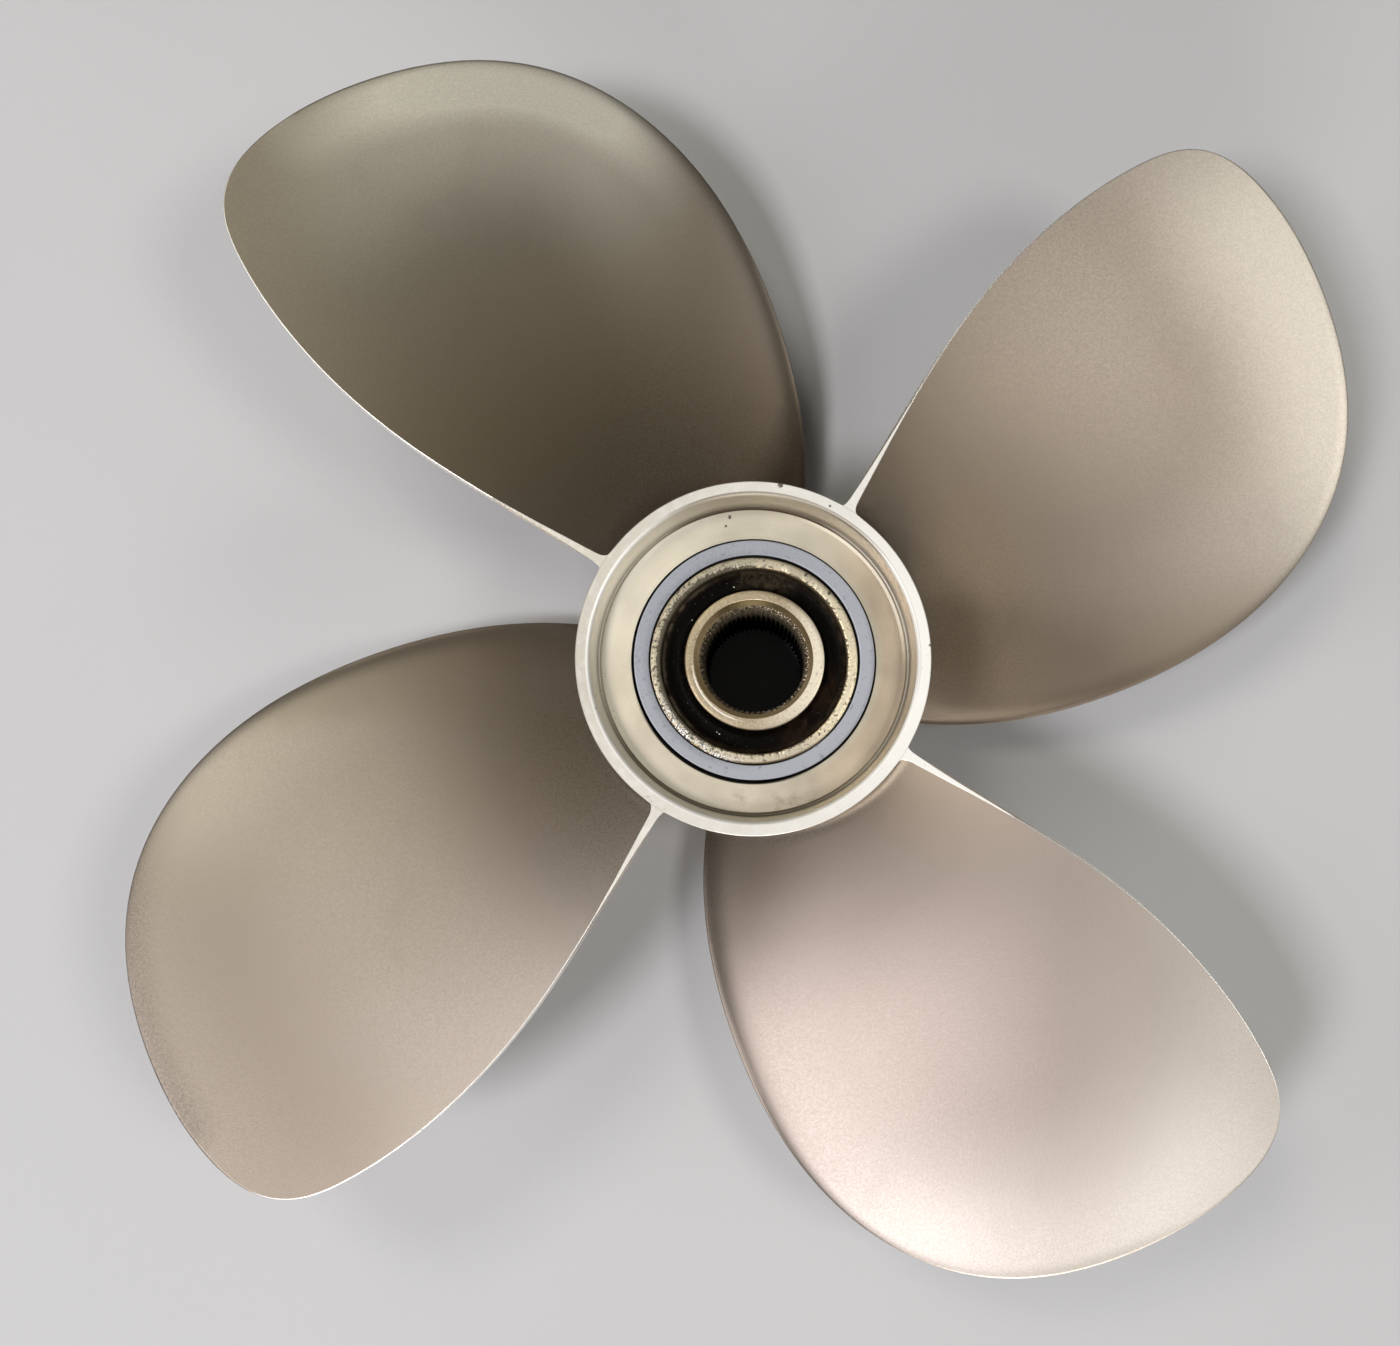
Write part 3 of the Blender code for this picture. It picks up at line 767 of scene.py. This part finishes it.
def machined_bronze():
    """Faced and turned bronze: fine turning lines round the shaft, a few marks, painted light and
    shade.
    """
    look = Look("machined_bronze")
    x, y, height, radius = look.x, look.y, look.z, look.radius
    along = radius + height * 0.7
    lines = look.line_noise(along, 5200, 3)
    coarse = look.line_noise(along, 900, 2)
    clouds = look.noise(55, 5, 0.6)
    scuffs = look.noise(210, 5, 0.65)
    nicks = look.noise(620, 3, 0.6).ramp(0.66, 0.7) * look.noise(30, 2).ramp(0.52, 0.6)
    specks = look.noise(1300, 2, 0.5).ramp(0.7, 0.76)
    # Painted light: the rim is lighter towards the right
    right = look.toward(0)
    floor = height.mm(85, 84.2) * radius.mm(62.2, 61.9)
    rim = height.mm(95.5, 95.8)
    lip = height.mm(94.8, 95.2) * radius.mm(67.1, 66.8)
    # Painted shade on the far side of the rim's inner lip, painted light on its near side
    far_lip_shade = lip * look.toward(80, 0.82, 0.95)
    near_lip_light = lip * look.toward(195, 0.55, 0.9)
    rim = rim + lip * (1 - rim) * (1 - far_lip_shade)
    outer_lip = rim * radius.mm(70.6, 70.9) * radius.mm(71.4, 71.1)
    groove = height.mm(84.4, 83.6) * radius.mm(61.7, 62)
    # Painted shade: near-black in the gap at the edge of the ring seat
    seat_gap_shade = radius.mm(50, 49.8) * height.mm(84, 83.8) * radius.mm(48, 49)
    # Painted reflection: a warmer, darker sector of the floor towards the right
    worn = look.toward(-8, 0.66, 0.93) * radius.mm(50, 54)
    soiled = (look.noise(95, 4, 0.65).ramp(0.5, 0.68) * (y * -1.0).mm(50, 58)
              * x.mm(-22, -2) * x.mm(34, 20))
    # Painted shade: the floor is darker towards the bottom
    lower_floor_shade = look.toward(275, 0.9, 0.99) * radius.mm(55.5, 60)
    # Painted light: the floor is lighter beside the wall towards the left
    lit_beside_wall = radius.mm(57, 61.2) * floor * look.toward(180, 0.45, 0.9)
    # Painted highlight: a bright gold line at the floor's outer edge towards the upper right
    floor_edge_highlight = (radius.mm(60.4, 60.8) * height.mm(83.8, 83.9)
                   * radius.mm(62, 61.7) * look.toward(36, 0.87, 0.99))
    # Painted shade in the relief groove, all round and darkest towards the lower left and the top
    grimy = 0.32 + 0.5 * look.toward(255, 0.66, 0.94) + 0.45 * look.toward(90, 0.88, 0.99)
    # Painted shadow: near-black on the floor beside the ring seat towards the lower left
    seat_shadow = radius.mm(50.7, 50.1) * floor * look.toward(248, 0.78, 0.96)
    marks = (look.spot(10.3, 69.6, 1.4, 2.2) + look.spot(70.6, 5.3, 0.7, 1.0)
             + look.spot(30.4, 61.2, 0.6, 1.0) + look.spot(-9.9, 58.9, 0.8, 1.6)
             + look.spot(-11.6, 55.2, 0.6, 1.2))
    # Painted light and shade on the recess wall: darker towards the top and the right, lighter
    # towards the lower left
    wall = look.coats(
        clouds.mix((0.62, 0.58, 0.485), (0.72, 0.68, 0.585)),
        (0.8 * look.toward(68, 0.74, 0.95), (0.24, 0.205, 0.15)),
        (0.8 * look.toward(10, 0.72, 0.95), (0.44, 0.415, 0.375)),
        (look.toward(212, 0.4, 0.95), (1.0, 0.965, 0.86)))
    floor_tone = look.coats(
        clouds.mix((0.84, 0.75, 0.57), (0.93, 0.845, 0.665)),
        # Painted light: the floor is lighter towards the upper left
        (0.9 * look.toward(115, 0.6, 0.95), (1.0, 0.925, 0.755)),
        (0.9 * worn, (0.88, 0.7, 0.505)),
        (0.45 * lower_floor_shade, (0.45, 0.37, 0.26)),
        (0.8 * lit_beside_wall, (1.0, 0.96, 0.83)),
        (0.9 * floor_edge_highlight, (1.0, 0.93, 0.76)),
        (0.6 * soiled, (0.36, 0.27, 0.18)))
    # Painted light and shade on the rim: lighter towards the right and on the near lip, darker on
    # the inner lip towards the right
    rim_tone = look.coats(
        right.mix((0.71, 0.67, 0.575), (0.98, 0.965, 0.895)),
        (0.3 * scuffs.ramp(0.45, 0.65), (1.0, 0.985, 0.93)),
        (0.9 * near_lip_light, (1.0, 0.985, 0.93)),
        (0.45 * lip * look.toward(18, 0.88, 0.98), (0.45, 0.42, 0.36)))
    bronze = look.coats(
        rim.mix(floor.mix(wall, floor_tone), rim_tone),
        ((0.3 * lines + 0.15 * coarse) * (1 - 0.6 * rim), (0.5, 0.45, 0.35)),
        (0.35 * specks + 0.55 * nicks, (0.2, 0.17, 0.13)),
        (0.9 * marks, (0.07, 0.055, 0.04)),
        (groove * grimy * (1 - look.toward(30, 0.9, 0.98)), (0.14, 0.108, 0.07)),
        (0.9 * far_lip_shade, (0.3, 0.265, 0.205)),
        (seat_shadow, (0.02, 0.015, 0.01)),
        (seat_gap_shade, (0.006, 0.005, 0.004)),
        (0.3 * outer_lip, (0.4, 0.36, 0.29)))
    # Metallic is lowered with the painted light (rim towards the right, near lip, floor's edge
    # line, beside the wall, wall towards the lower left) and in the seat gap's painted shade
    lit_wall_side = 0.5 * look.toward(196, 0.45, 0.95) * (1 - floor) * (1 - rim) * height.mm(83, 84.5)
    look.set("Metallic", 1.0 - rim * right.spread(0.2, 0.85) - 0.45 * near_lip_light
             - 0.75 * floor_edge_highlight - 0.5 * lit_beside_wall - seat_gap_shade - lit_wall_side)
    return look.surface(bronze, clouds.spread(0.34, 0.5) + 0.14 * (1 - floor) * (1 - rim),
                        look.bump(0.7 * lines + 0.3 * coarse - nicks - marks, 0.25, 0.00006))


def grey_satin():
    """Blue-grey satin ring, lightly handled, with painted light and shade by side."""
    look = Look("grey_satin", Metallic=0.25)
    radius = look.radius
    # Painted shade: the ring's sides below its top face are near-black
    side = look.z.mm(84.2, 83.8)
    rings = look.line_noise(radius, 3000, 2)
    clouds = look.noise(75, 4, 0.6)
    grain = look.noise(1500, 3, 0.65)
    marks = look.noise(420, 3, 0.6).ramp(0.6, 0.7)
    # Painted shade: darker on the inner side towards the left and at the outer edge towards the
    # right
    inner_side = radius.mm(46.2, 43.6) * look.toward(170, 0.3, 0.8)
    dark = 0.5 * inner_side + 0.5 * radius.mm(47.2, 49) * look.toward(-15, 0.85, 0.98)
    grey = look.coats(
        clouds.mix((0.262, 0.275, 0.3), (0.33, 0.345, 0.372)),
        # Painted light: lighter towards the lower right
        (0.65 * look.toward(-65), (0.5, 0.512, 0.535)),
        (dark, (0.16, 0.17, 0.185)),
        (0.45 * grain.ramp(0.35, 0.65), (0.43, 0.45, 0.5)),
        (0.5 * marks, (0.17, 0.17, 0.2)),
        (0.9 * side, (0.02, 0.019, 0.02)))
    return look.surface(grey, clouds.spread(0.44, 0.6),
                        look.bump(0.6 * grain + 0.4 * rings, 0.25, 0.00006))


def burnished_bronze():
    """Thin shell: worn pale gold, grimy and speckled on the left, crumbled at the lower left,
    painted light and shade.
    """
    look = Look("burnished_bronze")
    radius = look.radius
    clouds = look.noise(90, 4, 0.6)
    fine = look.noise(1500, 4, 0.7)
    speck = look.noise(820, 4, 0.65)
    crumbs = look.noise(560, 4, 0.7)
    left = look.toward(170, 0.5, 0.95)
    # Painted shade at the outer edge, strongest towards the bottom
    outer = radius.mm(41.2, 41.7) * (0.4 + 0.5 * look.toward(255, 0.75, 0.98))
    inner = radius.mm(39.4, 38.5)
    film = radius.mm(40.4, 38.6) * left
    grime = (speck + 0.28 * film + 0.1 * inner + 0.05 * left).ramp(0.56, 0.66)
    grime = grime + (1 - grime) * (0.25 + 0.5 * left) * fine.ramp(0.56, 0.66)
    torn = look.toward(232, 0.9, 0.98) * crumbs.ramp(0.48, 0.54) * radius.mm(39, 39.8)
    marks = look.spot(21.1, 35.2, 0.9, 1.6) + look.spot(30.5, 27.8, 0.9, 1.4)
    bronze = look.coats(
        clouds.mix((0.64, 0.56, 0.41), (0.78, 0.7, 0.53)),
        # Painted light: gold towards the right. Painted shade: darker and greyer towards the left,
        # darker towards the top, at the outer edge and on the inner chamfer
        (look.toward(-5, 0.74, 0.97), (0.99, 0.88, 0.63)),
        (0.75 * left, (0.47, 0.43, 0.31)),
        (0.5 * look.toward(118, 0.9, 0.99), (0.38, 0.34, 0.27)),
        (outer, (0.2, 0.14, 0.07)),
        (0.8 * radius.mm(38.9, 38.3), (0.36, 0.27, 0.14)),
        (0.92 * grime, (0.06, 0.048, 0.028)),
        (0.9 * torn, fine.ramp(0.45, 0.55).mix((0.05, 0.035, 0.02), (0.98, 0.96, 0.9))),
        (0.9 * marks, (0.07, 0.06, 0.05)))
    look.set("Metallic", 1.0 - 0.6 * grime - 0.3 * torn)
    return look.surface(bronze, clouds.spread(0.38, 0.52) + 0.15 * grime,
                        look.bump(speck - 0.7 * grime + 0.8 * torn, 0.3, 0.00015))


def greasy_rubber():
    """Black rubber under a film of dark grease, with brown smears, a few bright specks and a
    painted sheen.
    """
    look = Look("greasy_rubber", Specular_IOR_Level=0.045)
    radius = look.radius
    smears = look.noise(1.0, 4, 0.6, (75.0, 55.0, 40.0), 1.2)
    streaks = look.noise(1.0, 4, 0.65, (180.0, 110.0, 90.0), 0.8)
    lumps = look.noise(170, 3, 0.55)
    dust = look.noise(1700, 1, 0.5).ramp(0.745, 0.775)
    hazy = look.noise(260, 5, 0.7, None, 0.5)
    specks = (look.spot(-8.4, 31.2, 0.3, 0.4) + look.spot(-25.7, 17.4, 0.3, 0.4)
              + look.spot(-15.4, -28.8, 0.35, 0.6) + look.spot(-14.4, -29.6, 0.35, 0.6))
    # Painted highlight: a hazy sheen on the rubber towards the top
    painted_sheen = look.toward(82, 0.95, 0.999) * hazy.ramp(0.3, 0.75) * radius.mm(29, 33)
    brown = 0.6 * look.toward(-38, 0.86, 0.99) * streaks.ramp(0.35, 0.65)
    crust = (radius + 0.0014 * (hazy - 0.5)).mm(36, 37.4) * look.toward(178, 0.62, 0.95)
    film = look.coats(
        smears.mix((0.001, 0.0007, 0.0004), (0.005, 0.0036, 0.0022)),
        (0.75 * brown, (0.038, 0.018, 0.009)),
        (0.65 * radius.mm(35.4, 37.2),
         hazy.ramp(0.35, 0.65).mix((0.012, 0.008, 0.005), (0.05, 0.036, 0.024))),
        (0.8 * crust * streaks.ramp(0.35, 0.6), (0.15, 0.125, 0.085)),
        (0.7 * painted_sheen, (0.08, 0.06, 0.034)),
        (0.8 * specks + 0.14 * dust, (0.85, 0.8, 0.68)))
    return look.surface(film, smears.spread(0.4, 0.62),
                        look.bump(0.6 * lumps + 0.4 * smears, 0.3, 0.0002))


def sleeve_bronze():
    """Turned sleeve: pale gold end face, brown mouth, dark grit and grease among the teeth, painted
    light and shade.
    """
    look = Look("sleeve_bronze", Specular_IOR_Level=0.1)
    radius, height = look.radius, look.z
    clouds = look.noise(110, 4, 0.6)
    rings = look.line_noise(radius + height * 0.5, 4200, 2)
    bands = look.line_noise(radius, 2600, 2).ramp(0.42, 0.58)
    grit = look.noise(1600, 4, 0.8)
    mottle = look.noise(900, 3, 0.7)
    glints = look.noise(1250, 2, 0.5)
    spots = look.noise(380, 3, 0.6).ramp(0.62, 0.72)
    below = SLEEVE_TOP - height
    # Painted shade: the outer edge break is darker, most towards the left
    outer = radius.mm(27, 28.3) * (0.25 + 0.65 * look.toward(185, 0.42, 0.9))
    cone = below.mm(0.03, 0.2) * radius.mm(26.2, 25.6)
    # Painted light and shade: the end face is lighter towards the right; the mouth's cone is darker
    # towards the top and the upper right
    top_side_shade = look.toward(92, 0.86, 0.97)
    lit_side, shaded_side = look.toward(-12, 0.55, 0.97), look.toward(70, 0.45, 0.9)
    teeth = (below + 0.0012 * (grit - 0.5)).mm(2.1, 2.4) * radius.mm(24, 23.5)
    # Painted shade: near-black deeper down the bore
    deep = (below + 0.005 * (grit - 0.5)).mm(14, 38)
    # Painted highlight: a bright line at the inner edge of the end face towards the lower left.
    # Painted shade: the outer edge break is darker towards the lower left
    inner_edge_highlight = radius.mm(24.8, 25.1) * radius.mm(25.7, 25.4) * look.toward(222, 0.86, 0.98)
    outer_bevel_shade = radius.mm(27.5, 28) * look.toward(212, 0.78, 0.96)
    # Bright grit specks all round, with painted glints at the tooth ends towards the right
    tooth_ends = below.mm(2, 2.4) * below.mm(7, 4.5)
    grit_specks_and_glints = glints.ramp(0.57, 0.63) * (0.16 + 0.84 * look.toward(-5, 0.4, 0.95) * tooth_ends)
    smoky = look.coats(
        clouds.mix((0.34, 0.25, 0.13), (0.46, 0.35, 0.21)),
        (shaded_side, clouds.mix((0.2, 0.14, 0.07), (0.32, 0.24, 0.13))),
        (top_side_shade, (0.055, 0.04, 0.016)),
        (0.5 * bands * (1 - 0.7 * top_side_shade), (0.26, 0.17, 0.06)))
    soot = look.coats(
        grit.ramp(0.43, 0.62).mix((0.008, 0.006, 0.004), (0.24, 0.19, 0.118)),
        (grit_specks_and_glints, (1.0, 0.84, 0.62)))
    bronze = look.coats(
        clouds.mix((0.47, 0.375, 0.235), (0.56, 0.46, 0.31)),
        (lit_side, (0.9, 0.82, 0.65)),
        # Painted shade: the end face is darker towards the left
        (0.5 * look.toward(195, 0.8, 0.97), (0.3, 0.235, 0.135)),
        (0.25 * rings, (0.72, 0.62, 0.44)),
        (0.9 * inner_edge_highlight, (1.0, 0.97, 0.84)),
        (0.35 * mottle.ramp(0.52, 0.66), (0.95, 0.87, 0.68)),
        (0.25 * mottle.ramp(0.47, 0.36), (0.25, 0.19, 0.11)),
        (outer, (0.25, 0.19, 0.11)),
        (0.9 * outer_bevel_shade, (0.085, 0.06, 0.034)),
        (0.95 * cone, smoky),
        (0.45 * spots, (0.26, 0.16, 0.07)),
        (teeth, soot),
        (deep, (0.003, 0.0024, 0.002)))
    # Metallic is lowered with the painted light: on the lit side, on the cone away from the shaded
    # side and on the inner edge highlight
    pale = cone * (1 - shaded_side) * 0.3 + 0.4 * lit_side * (1 - cone) + 0.4 * inner_edge_highlight
    look.set("Metallic", (0.9 - pale * (1 - teeth) - 0.55 * teeth) * (1.0 - deep))
    return look.surface(bronze, clouds.spread(0.36, 0.48) + 0.15 * teeth + 0.2 * deep,
                        look.bump(grit * (0.15 + 0.85 * teeth) + 0.4 * rings, 0.45, 0.00022))


def pale_floor():
    """Plain pale ground for the stage."""
    look = Look("pale_floor")
    grit = look.noise(420, 3, 0.6)
    pale = look.noise(3.2, 4, 0.55).mix((0.5, 0.5, 0.495), (0.55, 0.55, 0.545))
    pale = (0.25 * grit).mix(pale, (0.46, 0.46, 0.455))
    return look.surface(pale, 0.75, look.bump(grit, 0.15, 0.0003))


def turned(name, profile, look, steps, shape=None):
    """A closed ring turned from an outline of radius and height, with an uneven shape if given."""
    rows = []
    for radius, height in profile:
        row = []
        for step in range(steps):
            angle = 2 * pi * step / steps
            place = shape(radius, height, angle) if shape else (radius, height)
            row.append((*place, angle))
        rows.append(row)
    return ring_piece(name, rows, look)


def ring_piece(name, rows, look):
    """An object from closed rows of radius, height and angle, with the last joined to the first."""
    shell = Shell()
    grid = [[shell.add(radius, angle, height) for radius, height, angle in row] for row in rows]
    grid = [made + made[:1] for made in grid]
    for one, other in zip(grid, grid[1:] + grid[:1]):
        shell.strip(one, other)
    return piece(name, shell, [look])


def round_noise(angle, scale, height):
    """Noise that closes on itself round the shaft."""
    return noise.noise(Vector((cos(angle) * scale, sin(angle) * scale, height)))


def spacer_ring(look):
    inner, outer, low, high = RING_SIZE
    inner, outer = inner - RING_INSET, outer - RING_INSET
    edge = PIECE_EDGE_BREAK
    profile = [(outer, high - edge), (outer, low), (inner, low), (inner, high - edge),
               (inner + edge * 0.3, high - edge * 0.3), (inner + edge, high),
               (inner + edge * 1.7, high), (outer - edge * 1.7, high), (outer - edge, high),
               (outer - edge * 0.3, high - edge * 0.3)]
    made = turned("spacer_ring_satin", profile, look, RING_STEPS)
    made.data.transform(Matrix.Translation(RING_SHIFT))
    return made


def bush_shell(look):
    inner, outer, low, high = SHELL_SIZE
    inner, outer = inner - SHELL_SWELL, outer + SHELL_SWELL
    edge = PIECE_EDGE_BREAK

    def flaked(radius, height, angle):
        """Nicks in the inner edge of the end face, most of them on the left."""
        if height > high - FLAKED_REACH and radius < inner + FLAKED_REACH:
            left = 0.5 - 0.5 * cos(angle)
            chip = round_noise(angle, 11, 3.0) + 0.8 * round_noise(angle, 43, 7.0)
            depth = max(0.0, chip - 0.1) * (0.0003 + 0.0007 * left)
            return radius + 0.4 * depth, height - 0.7 * depth
        return radius, height

    profile = [(outer, high - edge), (outer, low), (inner, low)]
    profile += [(inner + out, high - down) for out, down in SHELL_INNER_EDGE]
    profile += [(outer - edge, high), (outer - edge * 0.3, high - edge * 0.3)]
    return turned("bush_shell_burnished", profile, look, SHELL_STEPS, flaked)


def rubber_bush(look):
    """Rubber that creeps up the walls on both sides and sags between them."""
    inner, outer, low, high = RUBBER_SIZE
    outer -= RUBBER_GAP
    top = []
    for k in range(RUBBER_ROWS + 1):
        share = k / RUBBER_ROWS
        sag = RUBBER_SAG * (1 - (2 * share - 1) ** 4) ** 1.5
        top.append((inner + (outer - inner) * share, high - RUBBER_TOP_DROP - sag))
    profile = top[::-1] + [(inner, low), (outer, low)]

    def lumpy(radius, height, angle):
        if height < high - RUBBER_LUMPY_DEPTH:
            return radius, height
        spot = Vector((radius * cos(angle), radius * sin(angle), 0)) * 130
        return radius, min(high, height + RUBBER_LUMPS * noise.fractal(spot, 1.0, 2.0, 3))

    return turned("rubber_bush_greasy", profile, look, RUBBER_STEPS, lumpy)


def sleeve_end(end, way):
    """Outline of one end of the sleeve, from outside to the mouth; way is up or down, inwards."""
    return [(radius - inwards, end + way * along)
            for radius, steps in ((SLEEVE_RADIUS, SLEEVE_OUTER_EDGE), (MOUTH_RADIUS, MOUTH_EDGE))
            for inwards, along in steps]


def splined_sleeve(look):
    """Sleeve with sixty straight teeth whose ends slope into two plain mouths."""
    steps = TOOTH_COUNT * TOOTH_STEPS
    from_tip = abs(np.arange(TOOTH_STEPS) - TOOTH_STEPS / 2)
    shares = smooth_step((from_tip - TOOTH_TIP_STEPS) / TOOTH_FLANK_STEPS)
    rows = [[point] * steps for point in sleeve_end(SLEEVE_TOP, -1)]

    def toothed(height, valley, tip, burr=0.0):
        row = []
        for k in range(steps):
            uneven = burr * round_noise(2 * pi * k / steps, 31, 2.0)
            row.append((valley - (valley - tip) * (1 - shares[k % TOOTH_STEPS]), height + uneven))
        rows.append(row)

    for drop, valley, tip, burr in CLOGGED_TEETH:
        toothed(SLEEVE_TOP - drop, valley, tip, burr)
    for drop in CLEAN_TOOTH_DROPS:
        toothed(SLEEVE_TOP - drop, TOOTH_ROOT_RADIUS, TOOTH_TIP_RADIUS)
    for drop, valley, tip, burr in reversed(CLOGGED_TEETH[:FORWARD_TOOTH_ROWS]):
        clean = min(1, drop / FORWARD_CLEAN_RISE)
        toothed(SLEEVE_BOTTOM + drop, valley + (TOOTH_ROOT_RADIUS - valley) * clean, tip)
    rows += [[point] * steps for point in reversed(sleeve_end(SLEEVE_BOTTOM, 1))]

    def worn(radius, height, angle):
        """The aft mouth moved off centre, less and less with depth."""
        share = min(1.0, max(0.0, (height - SLEEVE_TOP + MOUTH_SHIFT_DEPTH) / MOUTH_SHIFT_DEPTH))
        share *= radius < MOUTH_RADIUS + MOUTH_SHIFT_REACH
        shift = MOUTH_SHIFT[0] * cos(angle) + MOUTH_SHIFT[1] * sin(angle)
        return radius + share * shift, height, angle

    angles = [radians(FIRST_VALLEY_ANGLE) + 2 * pi * k / steps for k in range(steps)]
    rows = [[worn(*point, angle) for point, angle in zip(row, angles)] for row in rows]
    made = ring_piece("splined_sleeve_turned", rows, look)
    made.data.transform(Matrix.Translation(SLEEVE_SHIFT))
    return made


def propeller_casting(looks):
    """The four quarters turned round the shaft and joined into one casting."""
    quarter = casting_quarter()
    whole = Shell()
    for blade in range(BLADE_COUNT):
        turn = Matrix.Rotation(-2 * pi * blade / BLADE_COUNT, 3, "Z")
        first = len(whole.points)
        whole.points += [tuple(turn @ Vector(p)) for p in quarter.points]
        whole.edges += quarter.edges
        whole.faces += [[first + c for c in face] for face in quarter.faces]
        whole.finish += quarter.finish
    return piece("casting_finished", whole, looks, weld=True)


def mount(made, node):
    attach(made, "root")
    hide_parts(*node)


mount(propeller_casting([cast_skin(), machined_bronze()]),
      ["propeller_casting"])
mount(spacer_ring(grey_satin()), ["spacer_ring"])
mount(bush_shell(burnished_bronze()), ["bush_shell"])
mount(rubber_bush(greasy_rubber()), ["rubber_bush"])
mount(splined_sleeve(sleeve_bronze()), ["splined_sleeve"])

# Stage: floor, lights and camera
FLOOR_SIZE = 12.0
floor = Shell()
corners = [(-1, -1), (1, -1), (1, 1), (-1, 1)]
floor.points = [(x * FLOOR_SIZE / 2, y * FLOOR_SIZE / 2, 0.0) for x, y in corners]
floor.edges = [(1.0, 1.0)] * 4
floor.face([0, 1, 2, 3])
piece("floor", floor, [pale_floor()])


LIGHT_DISTANCE = 4.0


def softbox(name, side, up, size, power, colour):
    """A square soft light in the direction (side, up) of the picture, as shares of a unit step."""
    direction = Vector((side, up, sqrt(1 - side * side - up * up)))
    lamp = bpy.data.lights.new(name, "AREA")
    lamp.shape = "SQUARE"
    lamp.size = size
    lamp.energy = power
    lamp.color = colour
    made = bpy.data.objects.new(name, lamp)
    made.location = LIGHT_DISTANCE * direction
    made.rotation_euler = direction.to_track_quat("Z", "Y").to_euler()
    bpy.context.scene.collection.objects.link(made)


softbox("left_softbox", -0.475, -0.26, 0.9, 83, (0.985, 0.965, 1.03))
softbox("right_softbox", 0.55, -0.11, 1.0, 38, (1.0, 0.985, 0.96))
softbox("far_softbox", -0.34, 0.43, 1.1, 30, (1.0, 0.985, 0.87))
softbox("side_softbox", -0.83, -0.02, 1.5, 25, (1.0, 0.975, 1.02))
softbox("near_softbox", 0.00, -0.96, 1.6, 110, (1.0, 0.98, 0.97))

world = bpy.data.worlds.new("studio")
world.use_nodes = True
sky = world.node_tree.nodes["Background"].inputs
sky["Color"].default_value = (0.62, 0.62, 0.62, 1.0)
sky["Strength"].default_value = 0.12
bpy.context.scene.world = world
bpy.context.scene.view_settings.view_transform = "Standard"

# The photograph's camera, from its pitch, yaw and roll in degrees and its focal length in pixels
PHOTO_WIDTH, PHOTO_HEIGHT = 1400, 1346
FOCAL_PIXELS = 1355.3
CENTRE_PIXEL = (822, 738)
CAMERA_TURNS = (-2.292, 2.677, 0.004)
CAMERA_PLACE = (0.00175, -0.0536, 0.6353)
SENSOR = 36.0
lens = bpy.data.cameras.new("photo_camera")
lens.sensor_width = SENSOR
lens.lens = FOCAL_PIXELS / PHOTO_WIDTH * SENSOR
lens.shift_x = (PHOTO_WIDTH / 2 - CENTRE_PIXEL[0]) / PHOTO_WIDTH
lens.shift_y = (CENTRE_PIXEL[1] - PHOTO_HEIGHT / 2) / PHOTO_WIDTH
lens.clip_start, lens.clip_end = 0.01, 50
camera = bpy.data.objects.new("photo_camera", lens)
turns = [Matrix.Rotation(radians(t), 3, axis) for t, axis in zip(CAMERA_TURNS, "XYZ")]
camera.matrix_world = (Matrix.Translation(CAMERA_PLACE)
                       @ (turns[2] @ turns[1] @ turns[0]).transposed().to_4x4())
bpy.context.scene.collection.objects.link(camera)
bpy.context.scene.camera = camera
